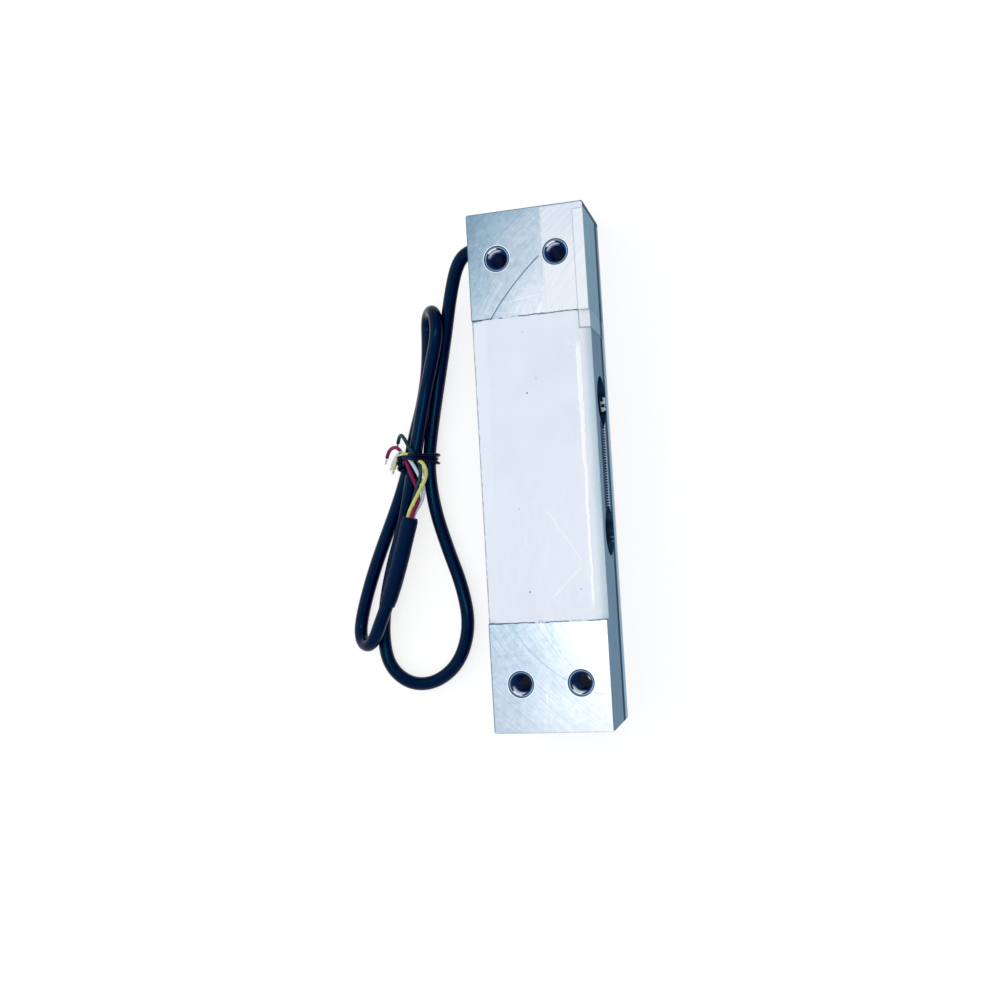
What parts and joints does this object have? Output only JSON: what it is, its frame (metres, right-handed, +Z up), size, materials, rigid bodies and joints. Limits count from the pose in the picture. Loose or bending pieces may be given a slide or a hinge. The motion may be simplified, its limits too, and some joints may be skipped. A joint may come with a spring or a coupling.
{
  "type": "single point load cell",
  "caption": "Aluminium beam load cell with a binocular flexure, potted strain gauges, threaded ends, side label, clear tape and a bundled signal cable with stripped cores.",
  "frame": {"origin": "centre of the beam's underside, which lies on the table", "axes": "X across the beam's width with the cable leaving at -X; Y along its length, +Y at the cable end; +Z up out of the upper face"},
  "size_m": [0.074, 0.13, 0.0222],
  "materials": {
    "beam_aluminium": "machined aluminium, fly-cut faces with fine arcs and light scratches",
    "sealant": "white silicone potting compound, satin, slightly uneven",
    "gauge_film": "amber polyimide gauge film",
    "terminal": "copper terminal tabs on film",
    "board": "green solder mask",
    "resistor": "black chip resistors",
    "lead_insulation": "thin wire insulation",
    "jumper_wire": "enamelled copper wire",
    "seal": "black sealing compound",
    "jacket": "dark blue-black PVC jacket, semi-gloss",
    "shrink": "black heat shrink, satin, slightly mottled",
    "core_yellow": "pale yellow wire insulation",
    "core_green": "green wire insulation",
    "core_white": "white wire insulation",
    "core_red": "red wire insulation",
    "tinned_copper": "tinned copper strands",
    "tie": "black plastic twist tie",
    "label": "plain white film label, bare",
    "tape": "clear adhesive tape"
  },
  "bodies": {
    "root": {"beam": "beam_aluminium", "sealant_front": "sealant", "sealant_back": "sealant", "gauge_front_cable": "gauge_film", "gauge_front_load": "gauge_film", "gauge_back_cable": "gauge_film", "gauge_back_load": "gauge_film", "terminal_front_cable": "terminal", "terminal_front_load": "terminal", "terminal_back_cable": "terminal", "terminal_back_load": "terminal", "bridge_board": "board", "trim_resistors": "resistor", "bridge_leads": "lead_insulation", "jumpers_front": "jumper_wire", "jumpers_back": "jumper_wire", "cable_seal": "seal", "cable": "jacket", "heat_shrink": "shrink", "core_yellow": "core_yellow", "core_green": "core_green", "core_white": "core_white", "core_red": "core_red", "core_tips": "tinned_copper", "cable_tie": "tie", "label_side": "label", "clear_tape": "tape"}
  },
  "joints": []
}
